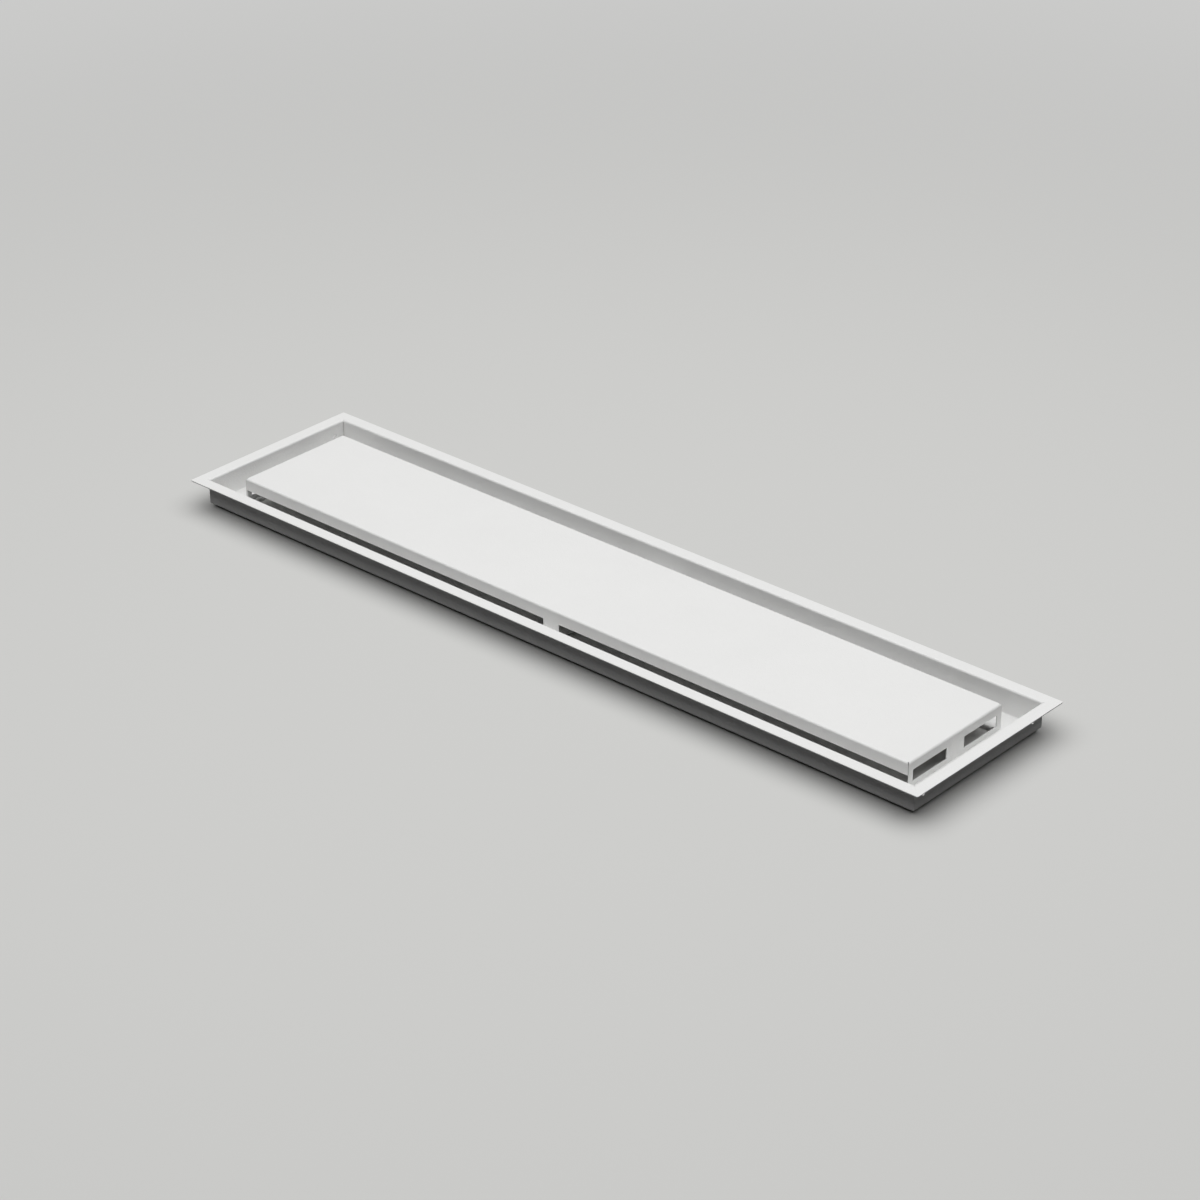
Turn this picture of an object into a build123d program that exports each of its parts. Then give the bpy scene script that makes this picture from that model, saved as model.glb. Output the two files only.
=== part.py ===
from build123d import *
import os

# Ceiling vent cover: a recessed frame and a raised face plate, both folded from
# thin steel sheet, with a strap across the throat. The visible face looks up, +Z.
# The origin is the plan centre, at the lowest edge of the frame. All sizes are in mm.

# Sheet
SHEET = 1.0
BEND_OUTER = 2.0
BEND_INNER = BEND_OUTER - SHEET

# Frame: outer flange, upright wall, shelf and the lip round the throat
FRAME_LENGTH = 850.0
FRAME_WIDTH = 200.0
FLANGE_WIDTH = 12.0
FLANGE_CORNER_R = 1.5
RECESS_DEPTH = 24.0
LIP_DEPTH = 4.0
THROAT_INSET = 40.0
LIP_END_GAP = 3.0
WALL_SEAM = 0.4
WALL_SEAM_DEPTH = 0.6

# Screw holes in the two end walls, in line with the channels beside the plate
SCREW_HOLE_D = 4.0
SCREW_PITCH = 150.0
SCREW_DROP = 13.0

# Face plate: its distance in from the flange's outer edge, and its folded sides
PLATE_INSET = 36.0
PLATE_BORDER = 10.0
STRIP_DEPTH = 11.5
SIDE_POST = 18.0
CORNER_GAP = 0.15
CORNER_RELIEF_D = 0.6
CUT_CORNER_R = 0.5

# Windows in the plate's two ends
END_WINDOW_WIDTH = 45.5
END_WINDOW_HEIGHT = 10.8
END_WINDOW_DROP = 8.5
END_POST = 23.8

# Strap under the shelf, across the throat
STRAP_WIDTH = 20.0
STRAP_LENGTH = 170.0
STRAP_CLEARANCE = 1.0

# Heights above the lip's lower edge
SHELF_TOP = LIP_DEPTH
SHELF_UNDERSIDE = SHELF_TOP - SHEET
FACE = SHELF_TOP + RECESS_DEPTH

# Plan sizes that follow
WALL_INSET = FLANGE_WIDTH + SHEET
SHELF_FLAT_END = THROAT_INSET - BEND_OUTER
THROAT_LENGTH = FRAME_LENGTH - 2 * THROAT_INSET
THROAT_WIDTH = FRAME_WIDTH - 2 * THROAT_INSET
PLATE_LENGTH = FRAME_LENGTH - 2 * PLATE_INSET
PLATE_WIDTH = FRAME_WIDTH - 2 * PLATE_INSET

# Cutters: how far one runs past what it cuts, and the height of one that cuts right through
PAST = 2.0
THROUGH = 3 * FACE


def folded_section(skin, radii):
    """Cross-section of folded sheet: the skin that shows, thickened behind it."""
    line = FilletPolyline(*skin, radius=radii)
    return make_face(offset(line, SHEET, side=Side.RIGHT, closed=True))


def section_plane(edge_distance):
    """Upright plane across the near side: local x runs inwards, local y is height."""
    return Plane(origin=(0, -edge_distance, 0), x_dir=(0, 1, 0), z_dir=(1, 0, 0))


def mitred_side(section, reach, length, width):
    """Near side of a folded ring: the section run along X and cut to 45 degrees at both ends."""
    run = extrude(section_plane(width / 2) * section, amount=length / 2, both=True)
    edge_x, edge_y = length / 2, -width / 2
    outline = Polyline(
        (-edge_x, edge_y),
        (edge_x, edge_y),
        (edge_x - reach, edge_y + reach),
        (reach - edge_x, edge_y + reach),
        close=True,
    )
    return run & extrude(make_face(outline), amount=FACE + PAST)


def folded_ring(section, reach, length, width):
    """The section carried round a rectangle, one side at a time, joined at the mitres."""
    near = mitred_side(section, reach, length, width)
    left = Rot(0, 0, -90) * mitred_side(section, reach, width, length)
    return near + mirror(near, Plane.XZ) + left + mirror(left, Plane.YZ)


def surround():
    """Flange, wall and shelf of the frame, with the flange's outer corners eased."""
    skin = [
        (0, FACE),
        (WALL_INSET, FACE),
        (WALL_INSET, SHELF_TOP),
        (SHELF_FLAT_END, SHELF_TOP),
    ]
    section = folded_section(skin, [BEND_OUTER, BEND_INNER])
    ring = folded_ring(section, SHELF_FLAT_END, FRAME_LENGTH, FRAME_WIDTH)
    corners = ring.edges().filter_by(Axis.Z).group_by(Axis.Z)[-1]
    return fillet(corners, FLANGE_CORNER_R)


def throat_lip(edge_distance, length):
    """Short lip turned down from the shelf on the near side, square at its two ends."""
    skin = [
        (SHELF_FLAT_END - PAST, SHELF_TOP),
        (THROAT_INSET, SHELF_TOP),
        (THROAT_INSET, 0),
    ]
    section = folded_section(skin, [BEND_OUTER])
    return extrude(section_plane(edge_distance) * section, amount=length / 2, both=True)


def throat_lips():
    """Lips on all four edges of the throat, the long ones parted to let the strap through."""
    side_run = THROAT_LENGTH - 2 * LIP_END_GAP
    end_run = THROAT_WIDTH - 2 * LIP_END_GAP
    notch = Box(STRAP_WIDTH + 2 * STRAP_CLEARANCE, FRAME_WIDTH, THROUGH)
    near = throat_lip(FRAME_WIDTH / 2, side_run) - notch
    left = Rot(0, 0, -90) * throat_lip(FRAME_LENGTH / 2, end_run)
    return near + mirror(near, Plane.XZ) + left + mirror(left, Plane.YZ)


def wall_seams():
    """Cutters for the upright seams in the recess where two walls meet, opened up at the bend."""
    foot = SHELF_TOP + BEND_INNER
    rise = FACE - foot
    groove = Box(2 * WALL_SEAM_DEPTH, WALL_SEAM, rise, align=(Align.CENTER, Align.CENTER, Align.MIN))
    bend_reach = BEND_OUTER * 2**0.5
    relief = Box(bend_reach, WALL_SEAM, BEND_OUTER, align=(Align.MIN, Align.CENTER, Align.MIN))
    cutter = groove + Pos(0, 0, rise - BEND_OUTER) * relief
    corner_x = FRAME_LENGTH / 2 - WALL_INSET
    corner_y = FRAME_WIDTH / 2 - WALL_INSET
    near_right = Pos(corner_x, -corner_y, foot) * Rot(0, 0, -45) * cutter
    near_left = mirror(near_right, Plane.YZ)
    return [near_right, near_left, mirror(near_right, Plane.XZ), mirror(near_left, Plane.XZ)]


def end_screw_holes():
    """Cutters for the two plain screw holes in each end wall."""
    wall_spacing = FRAME_LENGTH - 2 * FLANGE_WIDTH - SHEET
    hole = Cylinder(SCREW_HOLE_D / 2, SHEET + 2 * PAST, rotation=(0, 90, 0))
    places = GridLocations(wall_spacing, SCREW_PITCH, 2, 2)
    return [Pos(0, 0, FACE - SCREW_DROP) * place * hole for place in places]


def frame():
    """The recessed surround with its throat, folded from one sheet."""
    return surround() + throat_lips() - wall_seams() - end_screw_holes()


def window(width, height, plane):
    """Cutter for a window with small corner radii, just thicker than the sheet."""
    outline = plane * RectangleRounded(width, height, CUT_CORNER_R)
    return extrude(outline, amount=(SHEET + CORNER_GAP) / 2, both=True)


def side_windows():
    """Openings under the strips of the long sides, from the centre posts to the ends."""
    top = FACE - STRIP_DEPTH
    height = top - SHELF_TOP + PAST
    width = (PLATE_LENGTH - SIDE_POST) / 2 + PAST
    cutter = window(width, height, Plane.XZ)
    places = GridLocations(SIDE_POST + width, PLATE_WIDTH - SHEET, 2, 2)
    return [Pos(0, 0, top - height / 2) * place * cutter for place in places]


def end_windows():
    """Two windows in each end, one each side of a post."""
    cutter = window(END_WINDOW_WIDTH, END_WINDOW_HEIGHT, Plane.YZ)
    centre_height = FACE - END_WINDOW_DROP - END_WINDOW_HEIGHT / 2
    places = GridLocations(PLATE_LENGTH - SHEET, END_POST + END_WINDOW_WIDTH, 2, 2)
    return [Pos(0, 0, centre_height) * place * cutter for place in places]


def open_corners():
    """Cutters for the plate's corners: the folded sides stop one sheet short of each other."""
    notch = 2 * (SHEET + CORNER_GAP)
    corner = Box(notch, notch, THROUGH)
    relief = Cylinder(CORNER_RELIEF_D / 2, 2 * BEND_OUTER)
    notches = [place * corner for place in GridLocations(PLATE_LENGTH, PLATE_WIDTH, 2, 2)]
    inner_corners = GridLocations(PLATE_LENGTH - notch, PLATE_WIDTH - notch, 2, 2)
    return notches + [Pos(0, 0, FACE) * place * relief for place in inner_corners]


def face_plate():
    """The raised plate: a flat panel with its four sides folded down to the shelf."""
    skin = [(0, SHELF_TOP), (0, FACE), (PLATE_BORDER, FACE)]
    section = folded_section(skin, [BEND_OUTER])
    sides = folded_ring(section, PLATE_BORDER, PLATE_LENGTH, PLATE_WIDTH)
    panel = Box(
        PLATE_LENGTH - 2 * PLATE_BORDER,
        PLATE_WIDTH - 2 * PLATE_BORDER,
        SHEET,
        align=(Align.CENTER, Align.CENTER, Align.MAX),
    )
    plate = sides + Pos(0, 0, FACE) * panel
    return plate - side_windows() - end_windows() - open_corners()


def cross_strap():
    """Flat strap under the shelf at mid-length, spot-welded behind both centre posts."""
    strap = Box(STRAP_WIDTH, STRAP_LENGTH, SHEET, align=(Align.CENTER, Align.CENTER, Align.MAX))
    return Pos(0, 0, SHELF_UNDERSIDE) * strap


PARTS = {
    "frame": frame,
    "face_plate": face_plate,
    "cross_strap": cross_strap,
}

os.makedirs("parts", exist_ok=True)
for name, build in PARTS.items():
    solid = build()
    solid.label = name
    export_step(solid, f"parts/{name}.step")
    print(name, len(solid.solids()), round(solid.volume / 1000, 2), "cm3", solid.bounding_box().size)
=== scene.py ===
"""Ceiling vent cover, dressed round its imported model.

The cover is folded from powder-coated sheet steel: a recessed frame, a raised face plate that stands in
it, and a strap across the throat. Each piece is built here as the sheet itself, two skins and the cut
edge between them, with the soft edge that a baked coat leaves. Shapes are in mm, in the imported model's
frame, and turn to metres when their mesh is made.
"""

import logging
import math
from collections.abc import Iterable, Sequence
from dataclasses import dataclass, field
from enum import Enum

import bpy
import numpy as np
from mathutils import Matrix, Vector


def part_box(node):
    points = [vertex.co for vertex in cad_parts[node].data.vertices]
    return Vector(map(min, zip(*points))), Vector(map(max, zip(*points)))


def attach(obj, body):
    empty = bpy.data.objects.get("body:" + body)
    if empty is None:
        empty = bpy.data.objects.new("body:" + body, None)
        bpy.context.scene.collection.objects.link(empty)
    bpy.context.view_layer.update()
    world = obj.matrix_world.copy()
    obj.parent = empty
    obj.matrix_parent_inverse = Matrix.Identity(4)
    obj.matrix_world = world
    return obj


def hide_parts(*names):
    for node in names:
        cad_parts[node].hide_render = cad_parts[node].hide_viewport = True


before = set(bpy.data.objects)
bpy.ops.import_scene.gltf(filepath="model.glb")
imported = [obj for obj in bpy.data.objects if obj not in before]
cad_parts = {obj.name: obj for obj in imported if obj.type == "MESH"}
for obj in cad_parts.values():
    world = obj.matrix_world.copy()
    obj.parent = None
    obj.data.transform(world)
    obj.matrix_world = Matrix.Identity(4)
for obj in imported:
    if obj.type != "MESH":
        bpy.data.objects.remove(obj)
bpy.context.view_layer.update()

log = logging.getLogger("vent_cover")

MM = 0.001
# The whole cover is one rigid body.
BODY = "root"
RIGHT_ANGLE = math.pi / 2
SHARP_DEG = 40.0
# Lengths in mm that differ by less than TOUCH are the same, and points that agree to WELD_DECIMALS
# places are one point.
TOUCH = 1e-6
WELD_DECIMALS = 4


def linear(hex_colour: str) -> tuple[float, float, float, float]:
    """Turns an sRGB hex colour into linear light, by the standard's own curve.

    A coded value c, from 0 to 1, is c / 12.92 up to 0.04045 and ((c + 0.055) / 1.055)^2.4 above it.

    Args:
        hex_colour: six hex digits, such as "E8E8E6".

    Returns:
        Red, green and blue, linear, and an alpha of 1.
    """
    coded = np.array([int(hex_colour[i:i + 2], 16) for i in (0, 2, 4)]) / 255
    light = np.where(coded <= 0.04045, coded / 12.92, ((coded + 0.055) / 1.055) ** 2.4)
    return (*light.tolist(), 1.0)


def add_node(tree: bpy.types.NodeTree, kind: str, **settings: object) -> bpy.types.Node:
    """Adds one node, sets it up and links it.

    Args:
        tree: the node tree that takes the node.
        kind: Blender's name for the node type.
        settings: the node's properties and inputs, named in lower case with underscores. An output
            socket given for an input is linked to it, and any other value is set on it.

    Returns:
        The new node.
    """
    node = tree.nodes.new(kind)
    inputs = {socket.identifier.lower().replace(" ", "_"): socket for socket in node.inputs}
    for name, value in settings.items():
        if isinstance(value, bpy.types.NodeSocket):
            tree.links.new(value, inputs[name])
        elif name in inputs:
            inputs[name].default_value = value
        else:
            setattr(node, name, value)
    return node


def bare_tree(owner: bpy.types.Material | bpy.types.World) -> bpy.types.NodeTree:
    """Gives a material or a world an empty node tree.

    Args:
        owner: the material or world.

    Returns:
        Its tree, with no node in it.
    """
    owner.use_nodes = True
    owner.node_tree.nodes.clear()
    return owner.node_tree


def new_object(name: str, data: bpy.types.ID) -> bpy.types.Object:
    """Makes an object and links it to the scene.

    Args:
        name: the object's name.
        data: its mesh, lamp or camera.

    Returns:
        The object, at the origin.
    """
    made = bpy.data.objects.new(name, data)
    bpy.context.scene.collection.objects.link(made)
    return made


def read_values(parts: bpy.types.bpy_prop_collection, name: str, kind: type, width: int = 1) -> np.ndarray:
    """Reads one property of all a mesh's loops, edges or faces.

    Args:
        parts: the mesh's loops, edges or faces.
        name: the property's name.
        kind: int or float.
        width: how many numbers each part has.

    Returns:
        One row per part, or one number per part where width is 1.
    """
    values = np.empty(len(parts) * width, kind)
    parts.foreach_get(name, values)
    return values if width == 1 else values.reshape(-1, width)


@dataclass(frozen=True)
class Section:
    """Cross-section of folded sheet, one station per row along the skin that shows.

    inset is the distance in from the piece's outer edge and height that above the lip's lower edge, in
    mm. heading is the direction in which the skin runs, in radians: 0 is inwards and a quarter turn is up.
    """

    inset: np.ndarray
    height: np.ndarray
    heading: np.ndarray

    def sunk(self, depth: float) -> "Section":
        """Moves every station into the sheet: depth times (sin heading, -cos heading).

        Args:
            depth: how far, in mm.

        Returns:
            The moved section, with the same headings.
        """
        inset = self.inset + depth * np.sin(self.heading)
        height = self.height - depth * np.cos(self.heading)
        return Section(inset, height, self.heading)


@dataclass(frozen=True)
class Stock:
    """The steel sheet, as it is cut, folded and coated. Lengths are in mm."""

    thickness: float = 1.0
    bend: float = 2.0
    cut_round: float = 0.15
    corner_round: float = 0.5
    fold_steps: int = 8
    round_steps: int = 3

    def fold(
        self,
        corners: Sequence[tuple[float, float]],
        radii: Sequence[float],
        stops: dict[int, Sequence[float]] | None = None,
    ) -> Section:
        """Runs a section through right-angled folds.

        On a leg the stations are corner + distance x direction. In a fold of radius r about a centre c
        they are c + side x r x (sin h, -cos h), where the heading h turns from one leg's to the next's
        and side is +1 for a left turn and -1 for a right one.

        Args:
            corners: inset and height of the sharp corners, first end and last end included.
            radii: radius of the skin at each corner between the ends.
            stops: leg number to extra stations, as distances from the leg's first corner.

        Returns:
            The section, from the first end to the last.
        """
        points = np.array(corners, float)
        legs = np.diff(points, axis=0)
        lengths = np.hypot(*legs.T)
        headings = np.arctan2(legs[:, 1], legs[:, 0])
        reach = np.array([0.0, *radii, 0.0])
        shares = np.linspace(0, 1, self.fold_steps + 1)[1:-1]
        places, turns = [], []
        for leg, heading in enumerate(headings):
            way = np.array((math.cos(heading), math.sin(heading)))
            ends = (reach[leg], lengths[leg] - reach[leg + 1])
            along = np.unique([*ends, *(stops or {}).get(leg, ())])
            places.append(points[leg] + along[:, None] * way)
            turns.append(np.full(len(along), heading))
            if leg + 1 < len(headings):
                side = math.copysign(1, headings[leg + 1] - heading)
                radius = reach[leg + 1]
                centre = points[leg + 1] - radius * way + side * radius * np.array((-way[1], way[0]))
                turning = heading + side * RIGHT_ANGLE * shares
                places.append(centre + side * radius * np.stack((np.sin(turning), -np.cos(turning)), 1))
                turns.append(turning)
        inset, height = np.concatenate(places).T
        return Section(inset, height, np.concatenate(turns))


@dataclass
class Patch:
    """A grid of points on both skins of a sheet, in mm.

    front and back have one point per row and column. kept is False for the cells that are cut away.
    """

    front: np.ndarray
    back: np.ndarray
    kept: np.ndarray

    @classmethod
    def between(cls, front: np.ndarray, back: np.ndarray) -> "Patch":
        """Makes a whole patch from its skins.

        Args:
            front: points of the skin that shows, rows by columns by 3.
            back: points of the other skin.

        Returns:
            The patch, with no cell cut away.
        """
        rows, columns, _ = front.shape
        return cls(front, back, np.ones((rows - 1, columns - 1), bool))

    def middles(self) -> np.ndarray:
        """Centre of each cell on the front skin: the mean of its four corners."""
        corners = self.front
        return (corners[:-1, :-1] + corners[1:, :-1] + corners[:-1, 1:] + corners[1:, 1:]) / 4

    def turned(self, quarters: int) -> "Patch":
        """Turns the patch about the vertical axis: (x, y) becomes (-y, x) for each quarter."""
        turn = np.linalg.matrix_power(np.array([[0, 1, 0], [-1, 0, 0], [0, 0, 1]]), quarters)
        return Patch(self.front @ turn, self.back @ turn, self.kept)

    def quads(self, first: int) -> np.ndarray:
        """Corner numbers of the kept cells, counter-clockwise seen from the front.

        Args:
            first: number of the patch's first point.

        Returns:
            One row of four numbers per cell.
        """
        number = first + np.arange(self.front[..., 0].size).reshape(self.front.shape[:2])
        corners = (number[:-1, :-1], number[:-1, 1:], number[1:, 1:], number[1:, :-1])
        return np.stack(corners, -1)[self.kept]

    def hole(self, rows: slice, columns: slice, radius: float) -> "Patch":
        """Cuts a round hole in a square of cells.

        The cells go, and a ring takes their place: its outer row is the square's border, and its inner
        row is centre + radius x the direction from the centre to that border point.

        Args:
            rows: the square's rows of points.
            columns: the square's columns of points, as many as the rows.
            radius: radius of the hole, in mm.

        Returns:
            The ring between the square and the hole.
        """
        self.kept[rows.start:rows.stop - 1, columns.start:columns.stop - 1] = False
        step = np.arange(rows.stop - rows.start - 1)
        last = np.full(len(step), len(step))
        row = rows.start + np.concatenate((0 * step, step, last, last - step, [0]))
        column = columns.start + np.concatenate((step, last, last - step, 0 * step, [0]))
        skins = []
        for skin in (self.front, self.back):
            border = skin[row, column]
            centre = (skin[rows.start, columns.start] + skin[rows.stop - 1, columns.stop - 1]) / 2
            spoke = border - centre
            round_edge = centre + radius * spoke / np.linalg.norm(spoke, axis=1, keepdims=True)
            skins.append(np.stack((border, round_edge)))
        return Patch.between(*skins)


@dataclass
class SheetPiece:
    """One piece of coated sheet: its patches, welded into a closed skin with soft cut edges.

    Cut edges higher than crisp_above, in mm, stay crisp.
    """

    name: str
    patches: list[Patch]
    stock: Stock
    crisp_above: float = math.inf

    def weld(self) -> tuple[np.ndarray, list[list[int]], np.ndarray]:
        """Joins the patches and closes the sheet along its cut edges.

        Points that coincide become one. An edge of a front cell whose reverse belongs to no other front
        cell is a cut edge, and a face runs across the sheet's thickness from it to the back skin.

        Returns:
            The points in mm, the faces as lists of point numbers, and for each face whether it is a cut
            edge.
        """
        skins = [
            np.concatenate([getattr(patch, skin).reshape(-1, 3) for patch in self.patches])
            for skin in ("front", "back")
        ]
        count = len(skins[0])
        points, ids = np.unique(
            np.round(np.concatenate(skins), WELD_DECIMALS), axis=0, return_inverse=True
        )
        ids = ids.ravel()
        firsts = np.cumsum([0] + [patch.front[..., 0].size for patch in self.patches])
        quads = np.concatenate([patch.quads(first) for patch, first in zip(self.patches, firsts)])
        quads = quads[(ids[quads] != np.roll(ids[quads], 1, axis=1)).sum(1) > 2]
        edges = np.stack((quads, np.roll(quads, -1, axis=1)), -1).reshape(-1, 2)
        start, end = ids[edges].T
        cut = (start != end) & ~np.isin(end * len(points) + start, start * len(points) + end)
        near, far = edges[cut].T
        across = np.stack((far, near, near + count, far + count), 1)
        faces = ids[np.concatenate((quads, quads[:, ::-1] + count, across))]
        is_cut = np.arange(len(faces)) >= 2 * len(quads)
        distinct = faces != np.roll(faces, 1, axis=1)
        corners = distinct.sum(1)
        whole, folded = corners == 4, corners == 3
        triangles = faces[folded][distinct[folded]].reshape(-1, 3)
        return (
            points,
            faces[whole].tolist() + triangles.tolist(),
            np.concatenate((is_cut[whole], is_cut[folded])),
        )

    def edge_weights(self, mesh: bpy.types.Mesh, points: np.ndarray, is_cut: np.ndarray) -> np.ndarray:
        """Says how far each edge is rounded, as a share of the corner radius.

        An edge between a skin and a cut edge gets the coat's radius. An edge across the thickness, where
        a cut turns a corner, gets the whole corner radius if the cut runs on for at least as far both
        ways. Only edges that bend by more than SHARP_DEG count. All others stay as they are.

        Args:
            mesh: the closed mesh.
            points: the mesh's points, in mm.
            is_cut: for each face, whether it is a cut edge.

        Returns:
            One weight per edge of the mesh.

        Raises:
            ValueError: if an edge of the mesh has other than two faces.
        """
        edge_of_loop = read_values(mesh.loops, "edge_index", int)
        if (np.bincount(edge_of_loop, minlength=len(mesh.edges)) != 2).any():
            raise ValueError(f"{self.name}: the sheet is not closed")
        totals = read_values(mesh.polygons, "loop_total", int)
        face_of_loop = np.repeat(np.arange(len(totals)), totals)
        first, second = face_of_loop[np.argsort(edge_of_loop, kind="stable")].reshape(-1, 2).T
        normals = read_values(mesh.polygons, "normal", float, 3)
        bend = (normals[first] * normals[second]).sum(1) < math.cos(math.radians(SHARP_DEG))
        areas = read_values(mesh.polygons, "area", float)
        runs_on = is_cut & (areas > self.stock.corner_round * self.stock.thickness * MM**2)
        ends = read_values(mesh.edges, "vertices", int, 2)
        low = points[ends, 2].min(1) < self.crisp_above
        one = is_cut[first] != is_cut[second]
        both = runs_on[first] & runs_on[second]
        share = self.stock.cut_round / self.stock.corner_round
        return np.where(low & bend, share * one + both, 0.0)

    def build(self, coat: bpy.types.Material, node: str, slot: str) -> bpy.types.Object:
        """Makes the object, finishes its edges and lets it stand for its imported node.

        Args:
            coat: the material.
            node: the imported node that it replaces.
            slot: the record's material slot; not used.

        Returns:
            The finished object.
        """
        points, faces, is_cut = self.weld()
        mesh = bpy.data.meshes.new(self.name)
        mesh.from_pydata(points * MM, [], faces)
        weights = self.edge_weights(mesh, points, is_cut)
        mesh.attributes.new("bevel_weight_edge", "FLOAT", "EDGE").data.foreach_set("value", weights)
        mesh.shade_smooth()
        mesh.set_sharp_from_angle(angle=math.radians(SHARP_DEG))
        mesh.materials.append(coat)
        piece = new_object(self.name, mesh)
        soft = piece.modifiers.new("soft_cut_edges", "BEVEL")
        soft.limit_method = "WEIGHT"
        soft.width = self.stock.corner_round * MM
        soft.segments = self.stock.round_steps
        soft.use_clamp_overlap = False
        even = piece.modifiers.new("even_shading", "WEIGHTED_NORMAL")
        even.keep_sharp = True
        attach(piece, BODY)
        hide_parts(node)
        log.info("%s: %d points, %d faces", self.name, len(points), len(faces))
        return piece


@dataclass(frozen=True)
class Corner:
    """How the columns of a ring's side end at its corner. Lengths are in mm, one number or one per row.

    round_radius eases the corner in plan where the inset is smaller than it. gap holds the side back from
    the mitre. seam_mouth and seam_depth sink a groove into the mitre, seam_mouth wide along each side.
    """

    round_radius: float = 0.0
    round_steps: int = 1
    gap: np.ndarray | float = 0.0
    seam_mouth: np.ndarray | float = 0.0
    seam_depth: np.ndarray | float = 0.0


@dataclass(frozen=True)
class RingSide:
    """Near side of a section carried round a rectangle, from mitre to mitre. Lengths are in mm.

    half_run is half the length of the side's outer edge, and half_out that edge's distance from the
    plan's centre. fixed and sliding place the columns, as skin says.
    """

    section: Section
    thickness: float
    half_run: float
    half_out: float
    fixed: Sequence[float]
    corner: Corner
    sliding: Sequence[float] = ()

    def skin(self, section: Section, seamed: bool) -> np.ndarray:
        """Points of one skin, rows by columns by 3.

        The right half's columns are, from the middle out: the fixed ones, at x = a; the sliding ones, at
        x = a + t (L - d - a) for the share t of the way to the mitre, where L is half the run and d the
        inset; those of the corner, at x = L - d - r (1 - sin q) with the inset d + r (1 - cos q), where r
        is what the inset leaves of the corner's radius and q goes from 0 to an eighth of a turn, and all
        of them less the gap and the seam's mouth; and the two of the seam's floor, sunk into the sheet,
        one straight below the mouth's edge and one at the mitre. The left half mirrors them.

        Args:
            section: stations of this skin.
            seamed: whether the seam is sunk into this skin.

        Returns:
            The points, with the near side along X and its outer edge at y = -half_out.
        """
        corner = self.corner
        inset, height = section.inset[:, None], section.height[:, None]
        gap, mouth, depth = (
            np.zeros_like(inset) + np.reshape(value, (-1, 1))
            for value in (corner.gap, corner.seam_mouth * seamed, corner.seam_depth * seamed)
        )
        turn = section.heading[:, None]
        fixed, share = np.array(self.fixed, float), np.array(self.sliding, float)
        straight = np.ones((1, len(fixed) + len(share)))
        slid = fixed[-1] + share * (self.half_run - self.section.inset[:, None] - fixed[-1])
        q = np.linspace(0, RIGHT_ANGLE / 2, corner.round_steps + 1)
        left = np.maximum(corner.round_radius - inset, 0)
        held = inset + left * (1 - np.sin(q)) + gap + mouth
        inward = inset + left * (1 - np.cos(q))
        floor_inward = inward[:, -1:] + depth * np.sin(turn)
        floor_height = height - depth * np.cos(turn)
        to_corner = np.hstack((held, held[:, -1:], floor_inward + gap))
        along = np.hstack((fixed + 0 * inset, slid, self.half_run - to_corner))
        across = np.hstack((inset * straight, inward, floor_inward, floor_inward)) - self.half_out
        up = np.hstack((height * straight, height + 0 * q, floor_height, floor_height))
        right = np.stack((along, across, up), -1)
        return np.hstack((right[:, ::-1] * (-1, 1, 1), right))

    def patch(self) -> Patch:
        """Both skins of the side, whole, with the seam in the one that shows."""
        under = self.section.sunk(self.thickness)
        return Patch.between(self.skin(self.section, True), self.skin(under, False))


def all_round(near: Patch, right: Patch) -> list[Patch]:
    """The four sides of a ring: the near and right ones, and each again, turned half way round."""
    return [near, right.turned(1), near.turned(2), right.turned(3)]


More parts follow.
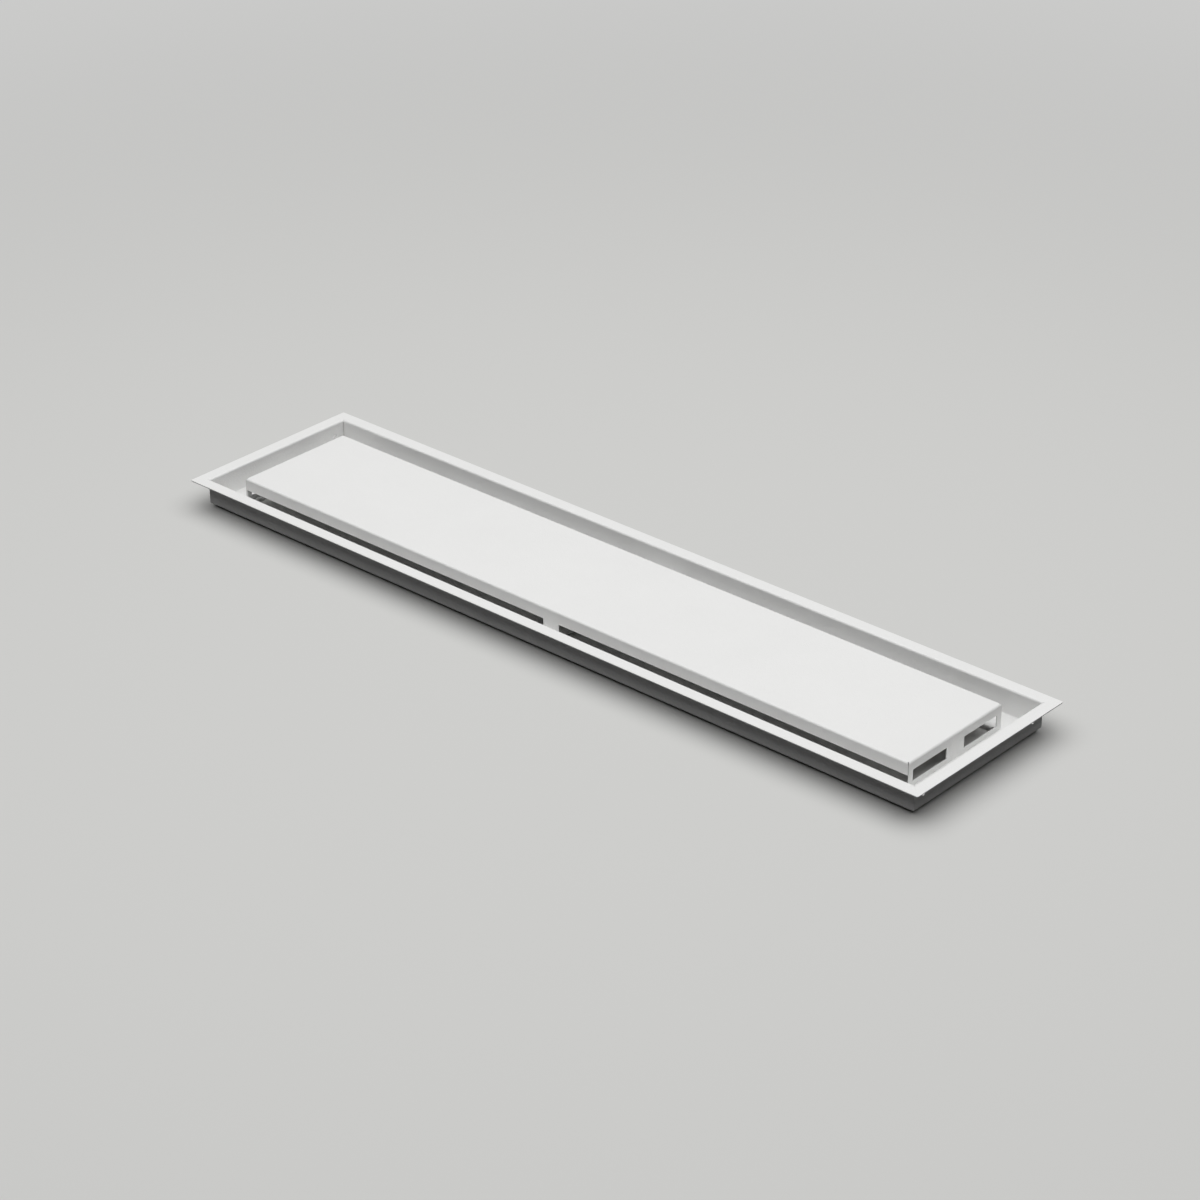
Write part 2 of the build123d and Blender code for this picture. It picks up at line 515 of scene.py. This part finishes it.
@dataclass
class RecessedFrame:
    """Flange, upright wall, shelf and throat lip, folded from one sheet. Lengths are in mm."""

    stock: Stock
    flange_width: float = 12.0
    corner_radius: float = 1.5
    corner_steps: int = 4
    recess_depth: float = 24.0
    throat_inset: float = 40.0
    lip_end_gap: float = 3.0
    strap_gap: float = 22.0
    seam_width: float = 0.4
    seam_depth: float = 0.6
    screw_hole: float = 4.0
    screw_pitch: float = 150.0
    screw_drop: float = 13.0
    hole_square: float = 7.0
    hole_cells: int = 6
    half_length: float = field(init=False)
    half_width: float = field(init=False)
    face: float = field(init=False)
    wall_inset: float = field(init=False)
    shelf: float = field(init=False)
    shelf_end: float = field(init=False)

    def __post_init__(self) -> None:
        """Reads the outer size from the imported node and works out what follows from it."""
        _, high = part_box("frame")
        self.half_length, self.half_width, self.face = (c / MM for c in high)
        self.wall_inset = self.flange_width + self.stock.thickness
        self.shelf = self.face - self.recess_depth
        self.shelf_end = self.throat_inset - self.stock.bend

    def section(self) -> Section:
        """Folds the frame's section: flange, wall, shelf and lip.

        Returns:
            The section, from the flange's outer edge to the lip's lower edge, with extra rows where the
            corner's radius ends and across the screw holes.
        """
        corners = [
            (0, self.face),
            (self.wall_inset, self.face),
            (self.wall_inset, self.shelf),
            (self.throat_inset, self.shelf),
            (self.throat_inset, 0),
        ]
        stock = self.stock
        inner_bend = stock.bend - stock.thickness
        stops = {0: [self.corner_radius], 1: self.screw_drop + self.hole_stations()}
        return stock.fold(corners, (stock.bend, inner_bend, stock.bend), stops)

    def hole_stations(self) -> np.ndarray:
        """Stations across the square round a screw hole, from its middle."""
        return np.linspace(-0.5, 0.5, self.hole_cells + 1) * self.hole_square

    def seam(self, section: Section) -> Corner:
        """The frame's corner: eased in plan, with a seam sunk where two walls meet.

        Args:
            section: stations of the skin that shows.

        Returns:
            The corner, its seam as wide and deep as asked on the rows between shelf and flange.
        """
        walled = (section.heading < -TOUCH) & (section.inset <= self.wall_inset + TOUCH)
        above_fold = section.height >= self.shelf + self.stock.bend - self.stock.thickness - TOUCH
        seamed = walled & above_fold
        return Corner(
            round_radius=self.corner_radius,
            round_steps=self.corner_steps,
            seam_mouth=seamed * self.seam_width / math.sqrt(2),
            seam_depth=seamed * self.seam_depth,
        )

    def side(
        self,
        section: Section,
        half_run: float,
        half_out: float,
        gap: float,
        sliding: Sequence[float],
    ) -> Patch:
        """One side, with its lip parted in the middle and stopped short of the throat's corners.

        Args:
            section: stations of the skin that shows.
            half_run: half the length of the side's outer edge.
            half_out: distance of that edge from the plan's centre.
            gap: width of the parting in the lip, or 0 for none.
            sliding: shares of the way to the mitre that get a column.

        Returns:
            The side, cut.
        """
        lip_end = half_run - self.throat_inset - self.lip_end_gap
        fixed = [gap / 2, lip_end] if gap else [lip_end]
        corner = self.seam(section)
        ring = RingSide(section, self.stock.thickness, half_run, half_out, fixed, corner, sliding)
        patch = ring.patch()
        along, across, _ = np.moveaxis(patch.middles(), -1, 0)
        is_lip = half_out + across > self.shelf_end
        beside = (np.abs(along) < gap / 2) | (np.abs(along) > lip_end)
        patch.kept &= ~(is_lip & beside)
        return patch

    def patches(self) -> list[Patch]:
        """Makes the four sides and the four screw holes.

        An end's side has a column where its lip ends and then one for each station across a hole. Those
        slide with the inset, by shares of the way to the mitre that put them in place along the wall.

        Returns:
            The near, right, far and left sides, then the rings round the holes.
        """
        section = self.section()
        front = self.side(section, self.half_length, self.half_width, self.strap_gap, ())
        lip_end = self.half_width - self.throat_inset - self.lip_end_gap
        places = self.screw_pitch / 2 + self.hole_stations()
        shares = (places - lip_end) / (self.half_width - self.wall_inset - lip_end)
        end = self.side(section, self.half_width, self.half_length, 0.0, shares)
        on_wall = np.abs(section.height - (self.face - self.screw_drop)) <= self.hole_square / 2 + TOUCH
        first_row = np.flatnonzero(on_wall)[0]
        count = self.hole_cells + 1
        rows = slice(first_row, first_row + count)
        middle = end.front.shape[1] // 2
        holes = [
            end.hole(rows, slice(middle + 1, middle + 1 + count), self.screw_hole / 2),
            end.hole(rows, slice(middle - 1 - count, middle - 1), self.screw_hole / 2),
        ]
        return all_round(front, end) + [hole.turned(quarters) for hole in holes for quarters in (1, 3)]

    def build(self, coat: bpy.types.Material) -> bpy.types.Object:
        """Builds the frame in its coat."""
        return SheetPiece("recessed_frame", self.patches(), self.stock).build(coat, "frame", "frame")


@dataclass
class FacePlate:
    """Flat panel with four folded sides, windows cut in them and open corners. Lengths are in mm."""

    stock: Stock
    strip_depth: float = 11.5
    side_post: float = 18.0
    corner_slit: float = 0.35
    corner_relief: float = 0.8
    end_window_width: float = 45.5
    end_window_height: float = 10.8
    end_window_drop: float = 8.5
    end_post: float = 23.8
    half_length: float = field(init=False)
    half_width: float = field(init=False)
    face: float = field(init=False)
    foot: float = field(init=False)

    def __post_init__(self) -> None:
        """Reads the plate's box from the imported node."""
        low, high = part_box("face_plate")
        self.half_length, self.half_width, self.face = (c / MM for c in high)
        self.foot = low.z / MM

    def section(self) -> Section:
        """Folds the plate's section: an upright side and the fold over it.

        Returns:
            The section, from the side's foot to the panel's edge, with extra rows for the windows.
        """
        bend = self.stock.bend
        corners = [(0, self.foot), (0, self.face), (bend, self.face)]
        window_top = self.face - self.end_window_drop
        heights = (self.face - self.strip_depth, window_top, window_top - self.end_window_height)
        return self.stock.fold(corners, [bend], {0: [height - self.foot for height in heights]})

    def side(self, half_run: float, half_out: float, fixed: Sequence[float]) -> Patch:
        """Makes one folded side, a slit away from the next sides, and wider where both are bent.

        Args:
            half_run: half the side's length.
            half_out: distance of its outer face from the plan's centre.
            fixed: distances from the side's middle that get a column.

        Returns:
            The side, with no window cut yet.
        """
        section = self.section()
        upright, level = section.heading > RIGHT_ANGLE - TOUCH, section.heading < TOUCH
        open_to = np.select((upright, level), (self.corner_slit, 0.0), self.corner_relief)
        corner = Corner(gap=open_to / math.sqrt(2))
        return RingSide(section, self.stock.thickness, half_run, half_out, fixed, corner).patch()

    def patches(self) -> list[Patch]:
        """Makes the four sides with their windows, and the panel between them.

        On a long side the sheet is kept within half a post of the middle and over the windows' top. On an
        end it goes between the post and the window's far edge, from the window's top to its sill.

        Returns:
            The near, right, far and left sides, then the panel.
        """
        post = self.side_post / 2
        inner, outer = self.end_post / 2, self.end_post / 2 + self.end_window_width
        front = self.side(self.half_length, self.half_width, [post])
        along, _, up = np.moveaxis(front.middles(), -1, 0)
        front.kept &= (np.abs(along) < post) | (up > self.face - self.strip_depth)
        end = self.side(self.half_width, self.half_length, [inner, outer])
        along, _, up = np.moveaxis(end.middles(), -1, 0)
        top = self.face - self.end_window_drop
        in_height = (up < top) & (up > top - self.end_window_height)
        end.kept &= ~(in_height & (np.abs(along) > inner) & (np.abs(along) < outer))
        bend = self.stock.bend
        x = mirrored([post, self.half_length - bend])
        y = mirrored([inner, outer, self.half_width - bend])
        panel = [level_grid(x, y, height) for height in (self.face, self.face - self.stock.thickness)]
        return all_round(front, end) + [Patch.between(*panel)]

    def build(self, coat: bpy.types.Material) -> bpy.types.Object:
        """Builds the plate in its coat, with the slits left crisp where they narrow in the fold."""
        piece = SheetPiece("face_plate_folded", self.patches(), self.stock, self.face - self.stock.bend)
        return piece.build(coat, "face_plate", "face_plate")


@dataclass
class CrossStrap:
    """Flat strap under the shelf, with the dimples of its spot welds. Lengths are in mm."""

    stock: Stock
    weld_spacing: float = 10.0
    weld_from_middle: float = 74.0
    dimple_radius: float = 2.6
    dimple_depth: float = 0.18
    dimple_cells: int = 12

    def patches(self) -> list[Patch]:
        """Makes the strap, its underside pressed up at each weld.

        At a distance r from the weld's middle, up to the dimple's radius R, the underside is raised by
        depth x (1 - (r / R)^2)^2.

        Returns:
            One patch, the whole strap.
        """
        low, high = (np.array(corner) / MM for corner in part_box("cross_strap"))
        near = np.linspace(-1, 1, self.dimple_cells + 1) * self.dimple_radius
        x = mirrored(np.unique([*(self.weld_spacing / 2 + near), high[0]]))
        y = mirrored([*(self.weld_from_middle + near), high[1]])
        top, under = level_grid(x, y, high[2]), level_grid(x, y, low[2])
        across = np.abs(under[..., 0]) - self.weld_spacing / 2
        along = np.abs(under[..., 1]) - self.weld_from_middle
        share = np.clip(np.hypot(across, along) / self.dimple_radius, 0, 1)
        under[..., 2] += self.dimple_depth * (1 - share**2) ** 2
        return [Patch.between(top, under)]

    def build(self, coat: bpy.types.Material) -> bpy.types.Object:
        """Builds the strap in its coat."""
        return SheetPiece("throat_strap", self.patches(), self.stock).build(coat, "cross_strap", "strap")


def mirrored(distances: Iterable[float]) -> np.ndarray:
    """Distances from the middle, on both sides of it, in rising order."""
    out = np.array(list(distances), float)
    return np.concatenate((-out[::-1], out))


def level_grid(x: np.ndarray, y: np.ndarray, height: float) -> np.ndarray:
    """Points of a level grid, one row per y and one column per x, all at one height."""
    return np.stack(np.broadcast_arrays(x[None, :], y[:, None], float(height)), -1).copy()


class FilmAndPaintedShade(Enum):
    """The coat's two whites, for thicker and thinner film at random; THIN's are darker all over: painted
    shade.
    """

    FULL = ("ECECEB", "E8E8E7")
    THIN = ("E4E4E2", "DFDFDC")


@dataclass(frozen=True)
class PowderCoat:
    """White satin polyester powder coat, sprayed and baked on sheet steel. Sizes are in mm."""

    # FULL is the coat's own white; THIN darkens it all over, as painted shade for a piece deep inside.
    film: FilmAndPaintedShade = FilmAndPaintedShade.FULL
    roughness: float = 0.42
    roughness_spread: float = 0.04
    cloud: float = 55.0
    wave: float = 2.4
    wave_height: float = 0.012
    grain: float = 1.3
    grain_height: float = 0.22
    noise_low: float = 0.3
    noise_high: float = 0.7
    ior: float = 1.5

    def build(self) -> bpy.types.Material:
        """Makes the material.

        Returns:
            A material with an even white, faint clouds where the film is thicker, orange peel in its
            gloss and a fine grain.
        """
        material = bpy.data.materials.new(f"powder_coat_white_satin_{self.film.name.lower()}")
        tree = bare_tree(material)
        place = add_node(tree, "ShaderNodeTexCoord").outputs["Object"]
        clouds, waves, grain = (
            add_node(tree, "ShaderNodeTexNoise", vector=place, scale=1 / (size * MM)).outputs["Fac"]
            for size in (self.cloud, self.wave, self.grain)
        )
        # The film is never quite even: thick places are a trace whiter, so a large face isn't dead flat.
        white = add_node(tree, "ShaderNodeValToRGB", fac=clouds)
        for stop, shade in zip(white.color_ramp.elements, self.film.value):
            stop.color = linear(shade)
        # Orange peel: the baked film keeps a slow wave, which breaks the edge of every soft highlight.
        gloss = add_node(
            tree,
            "ShaderNodeMapRange",
            value=waves,
            from_min=self.noise_low,
            from_max=self.noise_high,
            to_min=self.roughness - self.roughness_spread,
            to_max=self.roughness + self.roughness_spread,
        )
        slow = add_node(tree, "ShaderNodeBump", height=waves, distance=self.wave_height * MM)
        # Grain: powder flows out to grains of about 0.3 mm, too fine to show. They are drawn four times
        # as wide and deep enough to be seen, and the eye finds them on upright walls and in bends.
        fine = add_node(
            tree,
            "ShaderNodeBump",
            height=grain,
            distance=self.grain_height * MM,
            normal=slow.outputs["Normal"],
        )
        # Baked polyester is a half-matt plastic: it shows a lamp as a wide soft glow and reflects nothing
        # sharply, so flat faces read as plain white.
        coat = add_node(
            tree,
            "ShaderNodeBsdfPrincipled",
            base_color=white.outputs["Color"],
            roughness=gloss.outputs["Result"],
            ior=self.ior,
            normal=fine.outputs["Normal"],
        )
        add_node(tree, "ShaderNodeOutputMaterial", surface=coat.outputs["BSDF"])
        return material


@dataclass
class Studio:
    """Floor, lamp, sky and camera. Lengths are in metres unless a name says otherwise."""

    floor_radius: float = 12.0
    floor_sides: int = 96
    floor_lit_to: float = 0.7
    floor_even_from: float = 2.0
    floor_colour: str = "D2D2D0"
    floor_bounce: str = "343434"
    lamp_width: float = 5.0
    lamp_height: float = 2.5
    lamp_watts: float = 113.0
    sky_strength: float = 0.05
    backdrop_colour: str = "CBCBCA"
    camera_place: tuple[float, float, float] = (1.7253, -1.9279, 1.4084)
    camera_forward: tuple[float, float, float] = (-0.5868, 0.6558, -0.475)
    camera_right: tuple[float, float, float] = (0.746, 0.666, -0.0021)
    focal_px: float = 3322.6
    photo_px: float = 1200.0
    sensor_mm: float = 36.0

    @staticmethod
    def switch(tree: bpy.types.NodeTree, lit: bpy.types.Node, shown: bpy.types.Node) -> bpy.types.Node:
        """Lets light that bounces see one surface, and the camera, gloss and glass see another.

        Args:
            tree: the node tree that takes the nodes.
            lit: the shader that diffuse light meets.
            shown: the shader that camera, glossy and transmission rays meet.

        Returns:
            The node that mixes them: the share of shown is the largest of the three ray kinds' flags.
        """
        path = add_node(tree, "ShaderNodeLightPath").outputs
        seen = path["Is Camera Ray"]
        for other in ("Is Glossy Ray", "Is Transmission Ray"):
            seen = add_node(
                tree, "ShaderNodeMath", operation="MAXIMUM", value=seen, value_001=path[other]
            ).outputs["Value"]
        first, second = lit.outputs[0], shown.outputs[0]
        return add_node(tree, "ShaderNodeMixShader", fac=seen, shader=first, shader_001=second)

    def build_floor(self) -> None:
        """Lays a plain pale disc under the cover.

        It takes light and shadow round the cover and passes smoothly into the backdrop's even tone
        further out. Only light that would bounce up from it meets a dark floor.
        """
        bpy.ops.mesh.primitive_circle_add(
            vertices=self.floor_sides, radius=self.floor_radius, fill_type="NGON"
        )
        floor = bpy.context.object
        floor.name = "floor"
        material = bpy.data.materials.new("floor_matt_paper")
        tree = bare_tree(material)
        # Matt paper: it has no gloss, so the eye sees only its pale tone and the cover's soft shadow.
        place = add_node(tree, "ShaderNodeTexCoord").outputs["Object"]
        away = add_node(tree, "ShaderNodeVectorMath", operation="LENGTH", vector=place)
        fade = add_node(
            tree,
            "ShaderNodeMapRange",
            interpolation_type="SMOOTHSTEP",
            value=away.outputs["Value"],
            from_min=self.floor_lit_to,
            from_max=self.floor_even_from,
        )
        dark, pale = (
            add_node(tree, "ShaderNodeBsdfDiffuse", color=linear(colour))
            for colour in (self.floor_bounce, self.floor_colour)
        )
        even = add_node(tree, "ShaderNodeEmission", color=linear(self.backdrop_colour))
        shown = add_node(
            tree,
            "ShaderNodeMixShader",
            fac=fade.outputs["Result"],
            shader=pale.outputs["BSDF"],
            shader_001=even.outputs["Emission"],
        )
        add_node(tree, "ShaderNodeOutputMaterial", surface=self.switch(tree, dark, shown).outputs["Shader"])
        floor.data.materials.append(material)

    def build_light(self) -> None:
        """Hangs one very wide round soft box over the cover, in front of a pale, faintly lit backdrop."""
        lamp = bpy.data.lights.new("soft_box", "AREA")
        lamp.shape = "DISK"
        lamp.size = self.lamp_width
        lamp.energy = self.lamp_watts
        new_object("soft_box", lamp).location.z = self.lamp_height
        world = bpy.data.worlds.new("studio_world")
        tree = bare_tree(world)
        sky = add_node(tree, "ShaderNodeBackground", color=linear("FFFFFF"), strength=self.sky_strength)
        backdrop = add_node(tree, "ShaderNodeBackground", color=linear(self.backdrop_colour))
        add_node(tree, "ShaderNodeOutputWorld", surface=self.switch(tree, sky, backdrop).outputs["Shader"])
        bpy.context.scene.world = world

    def build_camera(self) -> None:
        """Stands the camera where the photograph was taken from.

        Its axes are back, against the view; up, at right angles to back and to the picture's right; and
        right, at right angles to both.
        """
        data = bpy.data.cameras.new("photo_camera")
        data.sensor_width = self.sensor_mm
        data.lens = self.focal_px / self.photo_px * self.sensor_mm
        camera = new_object("photo_camera", data)
        back = -Vector(self.camera_forward).normalized()
        up = back.cross(Vector(self.camera_right)).normalized()
        turn = Matrix((up.cross(back), up, back)).transposed().to_4x4()
        camera.matrix_world = Matrix.Translation(self.camera_place) @ turn
        bpy.context.scene.camera = camera


def main() -> None:
    """Builds the cover's three pieces in their coats, then the studio round them."""
    logging.basicConfig(level=logging.INFO, format="%(message)s")
    bpy.context.scene.view_settings.view_transform = "Standard"
    stock = Stock()
    # The strap's whites are darker all over: painted shade for where it sits, deep under the face plate.
    full, painted_shade_coat = PowderCoat().build(), PowderCoat(FilmAndPaintedShade.THIN).build()
    RecessedFrame(stock).build(full)
    FacePlate(stock).build(full)
    CrossStrap(stock).build(painted_shade_coat)
    studio = Studio()
    studio.build_floor()
    studio.build_light()
    studio.build_camera()
    log.info("studio: floor, light and camera")


if __name__ == "__main__":
    main()
